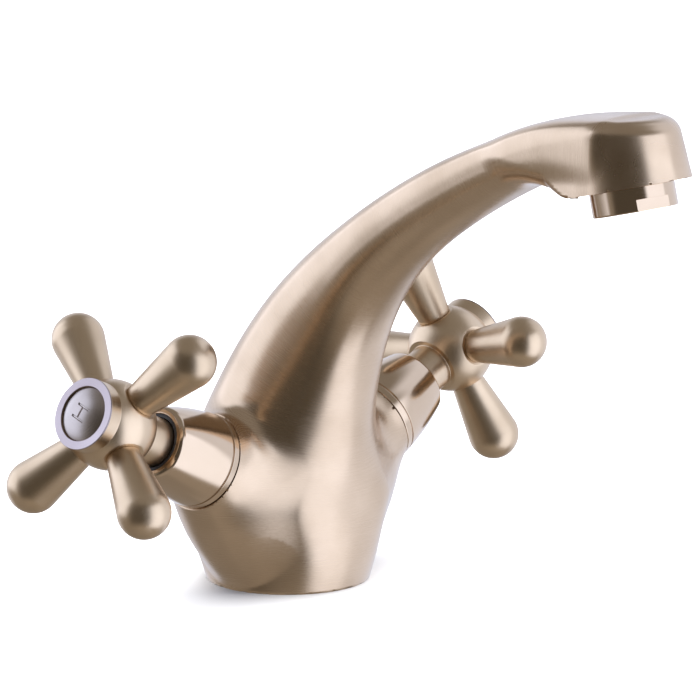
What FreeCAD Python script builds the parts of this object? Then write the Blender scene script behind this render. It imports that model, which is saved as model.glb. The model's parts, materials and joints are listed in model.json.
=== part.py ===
import FreeCAD, Part
import os
from math import atan, cos, hypot, pi, radians, sin, sqrt, tan

from FreeCAD import Matrix, Vector

# Two-handle basin mixer tap, deck mounted, in millimetres.
# Origin: centre of the base's bottom face, on the basin. +Z up, spout towards -Y.
# Hot valve at -X (the user's left), cold valve at +X.
# The two valves lie on axes that rise outwards in the XZ plane. Their pieces are drawn
# standing up, with +Z along the valve axis and z = distance from the point where the
# two axes meet, and are then laid on their own axis.

# ---- driving dimensions: body and spout ----
BASE_RADIUS = 25.0
# stations up the trunk and along the spout: y, z, half width, half thickness,
# and the superellipse exponents of the outer and inner half of the section
SPOUT_STATIONS = (
    (0.0, -8.0, BASE_RADIUS, BASE_RADIUS, 2.0, 2.0),
    (0.0, 0.0, BASE_RADIUS, BASE_RADIUS, 2.0, 2.0),
    (0.3, 10.0, 26.7, 28.0, 2.1, 2.2),
    (1.6, 25.0, 30.4, 29.1, 2.1, 2.7),
    (-2.6, 50.0, 26.6, 25.3, 2.1, 2.0),
    (-13.4, 75.5, 18.7, 19.7, 2.4, 2.3),
    (-37.0, 104.4, 15.3, 12.5, 2.8, 2.2),
    (-67.7, 125.8, 13.7, 9.7, 3.4, 2.3),
    (-93.1, 137.8, 15.2, 8.6, 4.0, 2.5),
    (-112.8, 142.1, 16.3, 10.4, 4.5, 3.0),
)
CHANNEL_STATION = 5                 # the water channel follows the spine from here on
HEAD_TILT = 13.4                    # the outlet leans forward by this angle
HEAD_CENTRE = (-131.2, 134.1)       # y, z of the centre of the head's underside
HEAD_HEIGHT = 19.0
HEAD_BOTTOM_RADIUS = 17.55
HEAD_TOP_RADIUS = 15.9
HEAD_TOP_ROUND = 4.4
NECK_HALF_THICKNESS = 9.8           # of the spout where it runs into the head
SECTION_POINTS = 32
LOFT_STEPS = 15

# ---- driving dimensions: valve axes ----
VALVE_TILT = 24.2                   # degrees above horizontal
CROSS_HEIGHT = 24.85                # z where the two valve axes meet
BOSS_END = 41.6                     # distance along the valve axis
BOSS_RADIUS = 14.6
# stations of each boss: distance out, height, half width in Y, half depth across
BOSS_STATIONS = (
    (0.5, -8.0, 19.1, 23.6),
    (0.5, 0.0, 19.1, 23.6),
    (12.0, 13.5, 16.1, 22.4),
    (27.9, 32.6, 16.4, 16.7),
)
# the bosses stay inside a cone that opens upwards from the base
FLARE_RADIUS, FLARE_SLOPE, FLARE_LOW, FLARE_HIGH = 25.4, 1.05, -6.0, 64.0

# ---- driving dimensions: waterways ----
RECESS_RADIUS, RECESS_DEPTH = 18.0, 6.0
GASKET_INNER, GASKET_OUTER, GASKET_HEIGHT = 19.6, 22.4, 2.0
INLET_OFFSET = 9.0
INLET_THREAD_RADIUS = 4.5           # tapping size of M10 x 1
INLET_THREAD_LENGTH = 12.0
INLET_RADIUS = 3.5
STUD_OFFSET = 11.5
STUD_THREAD_RADIUS = 3.4            # tapping size of M8
STUD_THREAD_LENGTH = 14.0
SEAT_DEPTH = 17.0                   # floor of the valve pocket, along the axis
SEAT_HOLE_RADIUS = 4.0
CHAMBER_RADIUS, CHAMBER_END = 9.4, 31.0
VALVE_THREAD_RADIUS = 10.4          # G 1/2 headwork
OUTLET_START = 27.0
OUTLET_RADIUS = 3.5
MIX_POINT = (-1.0, 53.0)
MIX_RADIUS = 6.5
CHANNEL_RADIUS = 4.5
CHANNEL_RISE = 12.6                 # channel height over the head's underside
PLENUM_RADIUS, PLENUM_TOP = 9.5, 14.0
AERATOR_BORE_RADIUS, AERATOR_BORE_DEPTH = 11.8, 9.0   # M24 x 1

# ---- driving dimensions: bonnet ----
BONNET_START, BONNET_END = 42.3, 64.6
RIM_LENGTH = 2.4
GROOVE_WIDTH, GROOVE_DEPTH = 0.5, 0.4
FLANK_TOP_RADIUS, FLANK_TOP = 11.3, 63.1
LIP_RADIUS, MOUTH_RADIUS = 10.0, 8.8
BONNET_CAVITY_RADIUS, BONNET_CAVITY_END = 12.0, 49.5
BONNET_THREAD_RADIUS, BONNET_THREAD_END = 7.6, 56.0

# ---- driving dimensions: valve and handle ----
HEX_ACROSS_FLATS, HEX_HEIGHT = 19.5, 6.0
HOUSING_END = 55.5
SKIRT_START, SKIRT_OUTER, SKIRT_INNER = 17.5, 8.9, 7.4
SPINDLE_RADIUS, SPINDLE_BORE = 4.9, 4.95
SPLINE_START, SPLINE_END = 58.0, 76.0
SPLINE_ROOT, SPLINE_TIP, SPLINE_TEETH = 3.7, 4.1, 20
DISC_RADIUS, DISC_THICKNESS, DISC_GAP = 7.2, 3.0, 0.05
SEAL_HEIGHT = 2.5
MOVING_DISC = SEAT_DEPTH + SEAL_HEIGHT + DISC_THICKNESS + DISC_GAP
PORT_OUTER, PORT_INNER, PORT_ANGLE = 5.6, 1.6, 76
KEY_WIDTH, KEY_DEPTH = 4.0, 1.0     # bar that turns the moving disc
CLIP_START = HOUSING_END + 0.55
CLIP_HEIGHT, CLIP_DEPTH = 1.0, 0.7
WASHER_HEIGHT = 0.5
SCREW_RADIUS, SCREW_END = 1.65, 65.5
SCREW_HEAD_RADIUS, SCREW_SLOT = 3.6, 0.9
PLATE_START, PLATE_END = 76.5, 79.5  # plate in the hub under the screw's head
ORING_PLACES = (44.0, 48.0)
ORING_SECTION = 0.85
HUB_CENTRE = 84.1
BALL_RADIUS = 13.5
BALL_BACK = 10.1                    # flat back, behind the ball's centre
NECK_RADIUS, NECK_START = 7.4, 62.8
FACE_RADIUS, FACE_FRONT = 10.8, 12.6
RING_THICKNESS, BUTTON_RADIUS = 0.4, 8.2
BUTTON_SEAT, BUTTON_EDGE, BUTTON_DOME = 10.4, 12.0, 1.9
SPOT_RADIUS, SPOT_DISTANCE = 6.1, 12.0
ARM_ROOT_RADIUS, ARM_TIP_RADIUS, ARM_TIP_CENTRE = 5.2, 8.0, 32.1
TANG_RADIUS, TANG_END = 2.9, 6.5
HOT_TURN, COLD_TURN = -46.0, -13.0  # first arm, from straight up the valve's face
LETTER_TURN = 118.0                 # letter, from the first arm
LETTER_HEIGHT, LETTER_WIDTH, LETTER_STROKE, LETTER_DEPTH = 5.0, 3.8, 0.5, 0.35

# ---- driving dimensions: aerator ----
COLLAR_RADIUS, COLLAR_LENGTH, COLLAR_CHAMFER = 12.3, 7.0, 0.6
FLAT_DISTANCE, FLAT_HEIGHT, FLAT_TURN = 11.2, 3.4, -24.0
AERATOR_THREAD_LENGTH = 7.5
INSERT_RADIUS, INSERT_FLOOR = 9.9, 1.4
CELL_RADIUS, CELL_PITCH, CELL_RINGS = 0.95, 2.5, 3

Z = Vector(0, 0, 1)
X = Vector(1, 0, 0)


def cylinder(radius, low, high):
    return Part.makeCylinder(radius, high - low, Vector(0, 0, low))


def ring(inner, outer, low, high):
    return cylinder(outer, low, high).cut(cylinder(inner, low - 1, high + 1))


def turned(start, *steps):
    """Solid of revolution about Z. A step is a point (r, z), or two for an arc."""
    edges = []
    here = Vector(start[0], 0, start[1])
    for step in steps + (start,):
        if isinstance(step[0], tuple):
            middle, end = (Vector(r, 0, z) for r, z in step)
            edges.append(Part.Arc(here, middle, end).toShape())
        else:
            end = Vector(step[0], 0, step[1])
            edges.append(Part.LineSegment(here, end).toShape())
        here = end
    face = Part.Face(Part.Wire(edges))
    return face.revolve(Vector(0, 0, 0), Z, 360)


def rod(start, end, radius):
    return Part.makeCylinder(radius, (end - start).Length, start, end - start)


def moved(shape, x_axis, y_axis, z_axis, origin):
    """A copy of shape with its own axes laid on three given directions."""
    columns = (x_axis, y_axis, z_axis, origin)
    rows = [[column[i] for column in columns] for i in range(3)]
    matrix = Matrix(*rows[0], *rows[1], *rows[2], 0, 0, 0, 1)
    result = shape.copy()
    result.transformShape(matrix, True)
    return result


def on_valve(shape, side):
    """Lay a piece on the hot (side -1) or cold (side +1) valve axis."""
    tilt = radians(VALVE_TILT)
    outward = Vector(side * cos(tilt), 0, sin(tilt))
    upward = Vector(-side * sin(tilt), 0, cos(tilt))
    return moved(shape, upward, outward.cross(upward), outward, Vector(0, 0, CROSS_HEIGHT))


def on_head(shape):
    """Lay a piece on the outlet axis, with z = 0 on the head's underside."""
    tilt = radians(HEAD_TILT)
    up = Vector(0, sin(tilt), cos(tilt))
    return moved(shape, X, up.cross(X), up, Vector(0, *HEAD_CENTRE))


def turn(shape, angle):
    result = shape.copy()
    result.rotate(Vector(0, 0, 0), Z, angle)
    return result


# ---- body ----
def half_power(value, exponent):
    return abs(value) ** (2 / exponent) * (1 if value >= 0 else -1)


def section(centre, across, outward, half_width, half_thickness, outer_power, inner_power):
    points = []
    for i in range(SECTION_POINTS):
        angle = 2 * pi * i / SECTION_POINTS
        power = outer_power if sin(angle) >= 0 else inner_power
        width = half_width * half_power(cos(angle), power)
        rise = half_thickness * half_power(sin(angle), power)
        points.append(centre + across * width + outward * rise)
    curve = Part.BSplineCurve()
    curve.interpolate(Points=points, PeriodicFlag=True)
    return Part.Wire(curve.toShape())


def smooth(values, lengths):
    """A smooth function through one value at each length."""
    curve = Part.BSplineCurve()
    points = [Vector(length, value, 0) for length, value in zip(lengths, values)]
    curve.interpolate(Points=points, Parameters=lengths)
    return lambda length: curve.value(length).y


def skin(stations, across, plane_point, plane_across):
    """Loft through superellipse sections square to a spine in a plane."""
    lengths = [0.0]
    for a, b in zip(stations, stations[1:]):
        lengths.append(lengths[-1] + hypot(b[0] - a[0], b[1] - a[1]))
    spine = Part.BSplineCurve()
    centres = [plane_point(s[0], s[1]) for s in stations]
    last = centres[-1] - centres[-2]
    last.normalize()
    spine.interpolate(Points=centres, Parameters=lengths, InitialTangent=Z, FinalTangent=last)
    sizes = [smooth([s[k] for s in stations], lengths) for k in range(2, 6)]
    wires = []
    for i in range(LOFT_STEPS):
        length = lengths[-1] * i / (LOFT_STEPS - 1)
        tangent = spine.tangent(length)[0]
        outward = plane_across(tangent)
        values = [size(length) for size in sizes]
        wires.append(section(spine.value(length), across, outward, *values))
    return Part.makeLoft(wires, True)


def trunk_and_spout():
    tilt = radians(HEAD_TILT)
    up = HEAD_HEIGHT - NECK_HALF_THICKNESS
    end = (HEAD_CENTRE[0] + up * sin(tilt), HEAD_CENTRE[1] + up * cos(tilt),
           HEAD_BOTTOM_RADIUS - 1, NECK_HALF_THICKNESS, 4.5, 3.5)
    return skin(SPOUT_STATIONS + (end,), X, lambda y, z: Vector(0, y, z),
                lambda t: Vector(0, t.z, -t.y))


def boss(side):
    tilt = radians(VALVE_TILT)
    rows = [(out, up, width, depth, 2.0, 2.0) for out, up, width, depth in BOSS_STATIONS]
    for reach in (BOSS_END, BOSS_END + 6):
        rows.append((reach * cos(tilt), CROSS_HEIGHT + reach * sin(tilt),
                     BOSS_RADIUS, BOSS_RADIUS, 2.0, 2.0))
    solid = skin(rows, Vector(0, 1, 0), lambda out, up: Vector(side * out, 0, up),
                 lambda t: Vector(t.z, 0, -t.x))
    flare = Part.makeCone(FLARE_RADIUS + FLARE_LOW * FLARE_SLOPE,
                          FLARE_RADIUS + FLARE_HIGH * FLARE_SLOPE,
                          FLARE_HIGH - FLARE_LOW, Vector(0, 0, FLARE_LOW))
    solid = solid.common(flare)
    return solid.cut(on_valve(cylinder(40, BOSS_END, BOSS_END + 20), side))


def head():
    cone = Part.makeCone(HEAD_BOTTOM_RADIUS, HEAD_TOP_RADIUS, HEAD_HEIGHT)
    top = [edge for edge in cone.Edges if edge.CenterOfMass.z > HEAD_HEIGHT - 1
           and edge.BoundBox.ZLength < 1]
    return on_head(cone.makeFillet(HEAD_TOP_ROUND, top))


def rounded_path(points, share=0.45):
    """Straight runs joined by tangent arcs, in the YZ plane."""
    edges = []
    here = points[0]
    for before, corner, after in zip(points, points[1:], points[2:]):
        back = before - corner
        ahead = after - corner
        reach = share * min(back.Length, ahead.Length)
        enter = corner + back.normalize() * reach
        leave = corner + ahead.normalize() * reach
        half = back.getAngle(ahead) / 2
        radius = reach * tan(half)
        bisector = (back + ahead).normalize()
        middle = corner + bisector * (radius / sin(half) - radius)
        edges.append(Part.LineSegment(here, enter).toShape())
        edges.append(Part.Arc(enter, middle, leave).toShape())
        here = leave
    edges.append(Part.LineSegment(here, points[-1]).toShape())
    return Part.Wire(edges)


def spout_channel():
    tilt = radians(HEAD_TILT)
    route = [MIX_POINT] + [s[:2] for s in SPOUT_STATIONS[CHANNEL_STATION:]]
    route.append((HEAD_CENTRE[0] + CHANNEL_RISE * sin(tilt),
                  HEAD_CENTRE[1] + CHANNEL_RISE * cos(tilt)))
    points = [Vector(0, y, z) for y, z in route]
    path = rounded_path(points)
    circle = Part.makeCircle(CHANNEL_RADIUS, points[0], points[1] - points[0])
    return path.makePipeShell([Part.Wire(circle)], True, False)


def waterways():
    tools = [cylinder(RECESS_RADIUS, -1, RECESS_DEPTH),
             ring(GASKET_INNER, GASKET_OUTER, -1, GASKET_HEIGHT),
             spout_channel()]
    stud = cylinder(STUD_THREAD_RADIUS, 0, RECESS_DEPTH + STUD_THREAD_LENGTH)
    stud.translate(Vector(0, STUD_OFFSET, 0))
    mix = Vector(0, *MIX_POINT)
    tools += [stud, Part.makeSphere(MIX_RADIUS, mix)]
    tilt = radians(VALVE_TILT)
    for side in (-1, 1):
        inlet = cylinder(INLET_THREAD_RADIUS, 0, RECESS_DEPTH + INLET_THREAD_LENGTH)
        inlet = inlet.fuse(cylinder(INLET_RADIUS, 0, CROSS_HEIGHT + INLET_OFFSET * tan(tilt)))
        inlet.translate(Vector(side * INLET_OFFSET, 0, 0))
        pocket = cylinder(CHAMBER_RADIUS, SEAT_DEPTH, BOSS_END)
        pocket = pocket.fuse(cylinder(VALVE_THREAD_RADIUS, CHAMBER_END, BOSS_END + 1))
        seat = cylinder(SEAT_HOLE_RADIUS, INLET_OFFSET / cos(tilt) - 1, SEAT_DEPTH + 1)
        reach = Vector(side * OUTLET_START * cos(tilt), 0, CROSS_HEIGHT + OUTLET_START * sin(tilt))
        tools += [inlet, on_valve(pocket.fuse(seat), side), rod(mix, reach, OUTLET_RADIUS)]
    tools.append(on_head(cylinder(AERATOR_BORE_RADIUS, -1, AERATOR_BORE_DEPTH)))
    tools.append(on_head(cylinder(PLENUM_RADIUS, 0, PLENUM_TOP)))
    return tools


def body_casting():
    solid = trunk_and_spout()
    for piece in (boss(-1), boss(1), head()):
        solid = solid.fuse(piece)
    solid = solid.cut(Part.makeBox(200, 200, 50, Vector(-100, -100, -50)))
    for tool in waterways():
        solid = solid.cut(tool)
    return solid


def base_gasket():
    return ring(GASKET_INNER, GASKET_OUTER, 0, GASKET_HEIGHT)


# ---- aerator, drawn with z = 0 on the head's underside ----
def aerator_housing():
    solid = turned((INSERT_RADIUS, -COLLAR_LENGTH),
                   (COLLAR_RADIUS - COLLAR_CHAMFER, -COLLAR_LENGTH),
                   (COLLAR_RADIUS, COLLAR_CHAMFER - COLLAR_LENGTH),
                   (COLLAR_RADIUS, 0),
                   (AERATOR_BORE_RADIUS, 0),
                   (AERATOR_BORE_RADIUS, AERATOR_THREAD_LENGTH),
                   (INSERT_RADIUS, AERATOR_THREAD_LENGTH))
    for angle in (0, 180):
        flat = Part.makeBox(4, 30, FLAT_HEIGHT, Vector(FLAT_DISTANCE, -15, -COLLAR_LENGTH))
        solid = solid.cut(turn(flat, angle + FLAT_TURN - 90))
    return solid


def honeycomb(radius, low, high):
    """Round cells in a close-packed pattern, as one compound."""
    cells = []
    for row in range(-CELL_RINGS, CELL_RINGS + 1):
        for column in range(-CELL_RINGS, CELL_RINGS + 1):
            if abs(row + column) > CELL_RINGS:
                continue
            cell = cylinder(radius, low, high)
            across = CELL_PITCH * (column + row / 2)
            cell.translate(Vector(across, CELL_PITCH * row * sqrt(3) / 2, 0))
            cells.append(cell)
    return Part.makeCompound(cells)


def aerator_insert():
    low = 0.8 - COLLAR_LENGTH
    cup = cylinder(INSERT_RADIUS, low, AERATOR_THREAD_LENGTH - 1)
    cup = cup.cut(cylinder(INSERT_RADIUS - 1.2, low + INSERT_FLOOR, AERATOR_THREAD_LENGTH))
    return cup.cut(honeycomb(CELL_RADIUS, low - 1, low + INSERT_FLOOR + 1))


def aerator_screen():
    low = AERATOR_THREAD_LENGTH - 1
    plate = cylinder(INSERT_RADIUS, low, low + 1)
    return plate.cut(honeycomb(CELL_RADIUS * 0.8, low - 1, low + 2))


def aerator_washer():
    return ring(8.0, AERATOR_BORE_RADIUS - 0.3, AERATOR_THREAD_LENGTH, AERATOR_BORE_DEPTH)


# ---- fixed valve pieces, drawn standing on the valve axis ----
def bonnet():
    groove = BONNET_START + RIM_LENGTH
    flank = groove + GROOVE_WIDTH
    flank_radius = BOSS_RADIUS - 0.1
    bulge = ((flank_radius + FLANK_TOP_RADIUS) / 2 + 0.45, (flank + FLANK_TOP) / 2)
    shoulder = (FLANK_TOP_RADIUS - 0.45, FLANK_TOP + 1.05)
    return turned((BONNET_CAVITY_RADIUS, BONNET_START),
                  (BOSS_RADIUS - 0.2, BONNET_START),
                  (BOSS_RADIUS, BONNET_START + 0.2),
                  (BOSS_RADIUS, groove),
                  (BOSS_RADIUS - GROOVE_DEPTH, groove),
                  (BOSS_RADIUS - GROOVE_DEPTH, flank),
                  (flank_radius, flank),
                  (bulge, (FLANK_TOP_RADIUS, FLANK_TOP)),
                  (shoulder, (LIP_RADIUS, BONNET_END)),
                  (MOUTH_RADIUS, BONNET_END),
                  (MOUTH_RADIUS, BONNET_THREAD_END),
                  (BONNET_THREAD_RADIUS, BONNET_THREAD_END),
                  (BONNET_THREAD_RADIUS, BONNET_CAVITY_END),
                  (BONNET_CAVITY_RADIUS, BONNET_CAVITY_END))


def bonnet_gasket():
    return ring(BONNET_CAVITY_RADIUS, BOSS_RADIUS - 1.0, BOSS_END, BONNET_START)


def guide_ring():
    return ring(NECK_RADIUS + 0.3, MOUTH_RADIUS, BONNET_END - 2.3, BONNET_END - 0.5)


def valve_housing():
    corner = HEX_ACROSS_FLATS / 2 / cos(radians(30))
    hexagon = [Vector(corner * cos(radians(a)), corner * sin(radians(a)), BOSS_END)
               for a in range(0, 361, 60)]
    nut = Part.Face(Part.makePolygon(hexagon)).extrude(Vector(0, 0, HEX_HEIGHT))
    solid = nut.fuse([cylinder(BONNET_THREAD_RADIUS, BOSS_END, HOUSING_END),
                      cylinder(VALVE_THREAD_RADIUS, CHAMBER_END, BOSS_END),
                      cylinder(SKIRT_OUTER, SKIRT_START, CHAMBER_END)])
    window = Part.makeBox(30, 8, 4, Vector(-15, -4, SEAT_DEPTH + 9))
    cavity = cylinder(SKIRT_INNER, SKIRT_START - 1, CHAMBER_END)
    return solid.cut([cavity, cylinder(SPINDLE_BORE, SKIRT_START, HOUSING_END + 1), window])


def seat_seal():
    return ring(SEAT_HOLE_RADIUS + 0.4, DISC_RADIUS - 0.2, SEAT_DEPTH, SEAT_DEPTH + SEAL_HEIGHT)


def disc(low, angle):
    """Ceramic disc with two fan-shaped ports."""
    solid = cylinder(DISC_RADIUS, low, low + DISC_THICKNESS)
    for start in (angle, angle + 180):
        port = Part.makeCylinder(PORT_OUTER, DISC_THICKNESS + 2, Vector(0, 0, low - 1), Z,
                                 PORT_ANGLE)
        port = port.cut(cylinder(PORT_INNER, low - 2, low + DISC_THICKNESS + 2))
        solid = solid.cut(turn(port, start - PORT_ANGLE / 2))
    return solid


def fixed_disc():
    return disc(SEAT_DEPTH + SEAL_HEIGHT, 0)


def spindle_washer():
    return ring(SPINDLE_BORE + 0.1, SPINDLE_RADIUS + 1.4, HOUSING_END, HOUSING_END + WASHER_HEIGHT)


# ---- turning valve pieces ----
def drive_bar(low, high):
    bar = Part.makeBox(20, KEY_WIDTH, high - low, Vector(-10, -KEY_WIDTH / 2, low))
    return bar.common(cylinder(DISC_RADIUS - 0.3, low, high))


def moving_disc():
    top = MOVING_DISC + DISC_THICKNESS
    return disc(MOVING_DISC, 90).cut(drive_bar(top - KEY_DEPTH, top + 1))


def spindle():
    top = MOVING_DISC + DISC_THICKNESS
    solid = drive_bar(top - KEY_DEPTH, top + 2)
    solid = solid.fuse(cylinder(SPINDLE_RADIUS, top + 1.5, SPLINE_START))
    outline = []
    for i in range(2 * SPLINE_TEETH + 1):
        radius = SPLINE_TIP if i % 2 else SPLINE_ROOT
        angle = pi * i / SPLINE_TEETH
        outline.append(Vector(radius * cos(angle), radius * sin(angle), SPLINE_START))
    spline = Part.Face(Part.makePolygon(outline)).extrude(Vector(0, 0, SPLINE_END - SPLINE_START))
    grooves = [ring(SPINDLE_RADIUS - 2 * ORING_SECTION, SPINDLE_RADIUS + 1,
                    place - ORING_SECTION, place + ORING_SECTION) for place in ORING_PLACES]
    grooves.append(ring(SPINDLE_RADIUS - CLIP_DEPTH, SPINDLE_RADIUS + 1,
                        CLIP_START, CLIP_START + CLIP_HEIGHT))
    return solid.fuse(spline).cut(grooves + [cylinder(SCREW_RADIUS, SCREW_END, SPLINE_END + 1)])


def spindle_orings():
    rings = [Part.makeTorus(SPINDLE_RADIUS - ORING_SECTION, ORING_SECTION, Vector(0, 0, place))
             for place in ORING_PLACES]
    return Part.makeCompound(rings)


def circlip():
    solid = ring(SPINDLE_RADIUS - CLIP_DEPTH, SPINDLE_RADIUS + 1.3,
                 CLIP_START, CLIP_START + CLIP_HEIGHT)
    return solid.cut(Part.makeBox(10, 3, 4, Vector(0, -1.5, CLIP_START - 1)))


def handle_hub():
    ball = Part.makeSphere(BALL_RADIUS, Vector(0, 0, HUB_CENTRE))
    ball = ball.cut(cylinder(20, HUB_CENTRE - 20, HUB_CENTRE - BALL_BACK))
    ball = ball.cut(cylinder(20, HUB_CENTRE + BALL_BACK, HUB_CENTRE + 20))
    solid = ball.fuse([cylinder(NECK_RADIUS, NECK_START, HUB_CENTRE),
                       cylinder(FACE_RADIUS, HUB_CENTRE, HUB_CENTRE + FACE_FRONT - RING_THICKNESS)])
    pocket = cylinder(BUTTON_RADIUS, HUB_CENTRE + BUTTON_SEAT, HUB_CENTRE + 20)
    cuts = [pocket,
            cylinder(5.4, PLATE_END, HUB_CENTRE + 20),
            cylinder(SPLINE_TIP + 0.05, NECK_START - 1, PLATE_START),
            cylinder(SCREW_RADIUS + 0.45, PLATE_START - 1, PLATE_END + 1)]
    for i in range(4):
        seat = cylinder(TANG_RADIUS, TANG_END - 3, 30)
        seat = seat.fuse(cylinder(SPOT_RADIUS, SPOT_DISTANCE, 30))
        cuts.append(on_arm(seat, i))
    return solid.cut(cuts)


def on_arm(shape, index):
    """Lay a piece drawn along Z on one of the four spokes of the handle."""
    angle = radians(90 * index)
    along = Vector(cos(angle), sin(angle), 0)
    return moved(shape, Z, along.cross(Z), along, Vector(0, 0, HUB_CENTRE))


def arm():
    """Teardrop arm: a cone that runs into a ball, on a screwed tang."""
    rise = ARM_TIP_CENTRE - SPOT_DISTANCE
    lean = 0
    for _ in range(30):
        lean = atan((ARM_TIP_RADIUS / cos(lean) - ARM_ROOT_RADIUS) / rise)
    touch = (ARM_TIP_RADIUS * cos(lean), ARM_TIP_CENTRE - ARM_TIP_RADIUS * sin(lean))
    far = (ARM_TIP_RADIUS * cos(pi / 4), ARM_TIP_CENTRE + ARM_TIP_RADIUS * sin(pi / 4))
    return turned((0, TANG_END), (TANG_RADIUS, TANG_END), (TANG_RADIUS, SPOT_DISTANCE),
                  (ARM_ROOT_RADIUS - 0.4, SPOT_DISTANCE),
                  (ARM_ROOT_RADIUS + 0.05, SPOT_DISTANCE + 0.4), touch,
                  (far, (0, ARM_TIP_CENTRE + ARM_TIP_RADIUS)))


def index_ring():
    front = HUB_CENTRE + FACE_FRONT
    return ring(BUTTON_RADIUS, FACE_RADIUS, front - RING_THICKNESS, front)


def letter(side):
    """Engraving tool for the plain capital H (hot) or C (cold)."""
    low = HUB_CENTRE + BUTTON_EDGE + BUTTON_DOME - LETTER_DEPTH
    half_height, half_width, stroke = LETTER_HEIGHT / 2, LETTER_WIDTH / 2, LETTER_STROKE
    if side > 0:
        shape = ring(half_height - stroke, half_height, low - 1, low + 3)
        shape = shape.cut(Part.makeBox(6, 3, 9, Vector(-3, -4.2, low - 2)))
        return shape
    bars = [Part.makeBox(LETTER_HEIGHT, stroke, 4, Vector(-half_height, y - stroke / 2, low - 1))
            for y in (-half_width, half_width)]
    bars.append(Part.makeBox(stroke, LETTER_WIDTH, 4, Vector(-stroke / 2, -half_width, low - 1)))
    return bars[0].fuse(bars[1:])


def index_button(side):
    seat = HUB_CENTRE + BUTTON_SEAT
    edge = HUB_CENTRE + BUTTON_EDGE
    radius = BUTTON_RADIUS
    dome = (radius ** 2 + BUTTON_DOME ** 2) / (2 * BUTTON_DOME)
    half = radius / 2
    middle = (half, edge + BUTTON_DOME - dome + sqrt(dome ** 2 - half ** 2))
    top = edge + BUTTON_DOME
    solid = turned((0, seat), (radius, seat), (radius, edge), (middle, (0, top)))
    shell = Part.makeSphere(dome - LETTER_DEPTH, Vector(0, 0, top - dome))
    return solid.cut(turn(letter(side).cut(shell), LETTER_TURN))


def handle_screw():
    low = PLATE_END + 0.6
    solid = cylinder(SCREW_RADIUS, SCREW_END, low).fuse(turned(
        (0, low), (SCREW_HEAD_RADIUS, low), (SCREW_HEAD_RADIUS, low + 1.4),
        ((2.7, low + 2.3), (0, low + 2.6))))
    cross = Part.makeBox(4, SCREW_SLOT, 2, Vector(-2, -SCREW_SLOT / 2, low + 1.2))
    return solid.cut([cross, turn(cross, 90)])


def screw_washer():
    return ring(SCREW_RADIUS + 0.45, 4.2, PLATE_END, PLATE_END + 0.6)


# ---- assembly ----
FIXED = (bonnet, bonnet_gasket, guide_ring, valve_housing, seat_seal, fixed_disc,
         spindle_washer)
TURNING = (spindle, spindle_orings, circlip, moving_disc, handle_hub, index_ring,
           handle_screw, screw_washer)


def assembly():
    nodes = {"body_casting": body_casting(), "base_gasket": base_gasket()}
    for make in (aerator_housing, aerator_insert, aerator_screen, aerator_washer):
        nodes[make.__name__] = on_head(make())
    for name, side, angle in (("hot", -1, HOT_TURN), ("cold", 1, COLD_TURN)):
        for make in FIXED:
            nodes[name + "_" + make.__name__] = on_valve(make(), side)
        for make in TURNING:
            nodes[name + "_" + make.__name__] = on_valve(turn(make(), angle), side)
        nodes[name + "_index_button"] = on_valve(turn(index_button(side), angle), side)
        for i in range(4):
            spoke = on_arm(arm(), i)
            nodes["%s_arm_%d" % (name, i + 1)] = on_valve(turn(spoke, angle), side)
    return nodes


os.makedirs("parts", exist_ok=True)
for node, shape in assembly().items():
    shape.exportStep("parts/" + node + ".step")
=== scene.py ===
"""Studio scene of a two-handle basin mixer tap in brushed champagne bronze.

Shapes are worked out in millimetres in the part's own frame (+Z up, spout towards -Y)
and become Blender metres when their mesh is made. Valve pieces are drawn standing up,
with z along the valve axis, and the outlet's pieces with z = 0 on the head's underside.
"""
import json
import bpy
import numpy as np
from mathutils import Matrix, Vector
from math import acos, atan, cos, pi, radians, sin, sqrt, tan


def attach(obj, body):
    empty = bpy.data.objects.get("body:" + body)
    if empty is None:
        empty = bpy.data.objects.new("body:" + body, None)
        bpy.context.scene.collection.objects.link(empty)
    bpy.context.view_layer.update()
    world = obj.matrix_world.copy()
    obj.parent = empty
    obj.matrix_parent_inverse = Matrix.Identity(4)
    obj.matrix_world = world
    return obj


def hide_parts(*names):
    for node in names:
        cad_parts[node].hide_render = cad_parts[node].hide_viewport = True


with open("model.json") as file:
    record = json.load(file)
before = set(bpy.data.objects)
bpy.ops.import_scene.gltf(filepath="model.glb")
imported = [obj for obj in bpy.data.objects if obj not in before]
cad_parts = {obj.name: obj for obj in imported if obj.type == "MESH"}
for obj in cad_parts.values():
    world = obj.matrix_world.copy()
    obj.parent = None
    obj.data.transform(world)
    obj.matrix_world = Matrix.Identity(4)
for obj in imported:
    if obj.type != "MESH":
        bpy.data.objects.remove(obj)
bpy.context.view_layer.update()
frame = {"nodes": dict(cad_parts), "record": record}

MM = 0.001

# ---- the body's dimensions, in millimetres ----
BASE_RADIUS = 25.0
# y, z, half width, half thickness, exponents of the section's outer and inner half
SPOUT_STATIONS = (
    (0.0, 0.0, BASE_RADIUS, BASE_RADIUS, 2.0, 2.0),
    (0.3, 10.0, 26.7, 28.0, 2.1, 2.2),
    (1.6, 25.0, 30.4, 29.1, 2.1, 2.7),
    (-2.6, 50.0, 26.6, 25.3, 2.1, 2.0),
    (-13.4, 75.5, 18.7, 19.7, 2.4, 2.3),
    (-37.0, 104.4, 15.3, 12.5, 2.8, 2.2),
    (-67.8, 125.9, 13.6, 9.7, 3.4, 2.3),
    (-93.0, 138.1, 14.5, 8.2, 4.0, 2.5),
    (-109.8, 143.7, 14.6, 7.9, 4.0, 3.0),
    (-128.8, 144.3, 14.0, 8.3, 4.0, 3.0),       # inside the head
)
HEAD_TILT = radians(13.4)
HEAD_CENTRE = np.array([0.0, -131.2, 134.1])
HEAD_HEIGHT, HEAD_TOP_ROUND = 19.0, 4.35
HEAD_BOTTOM_RADIUS, HEAD_TOP_RADIUS = 17.5, 16.2
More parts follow.
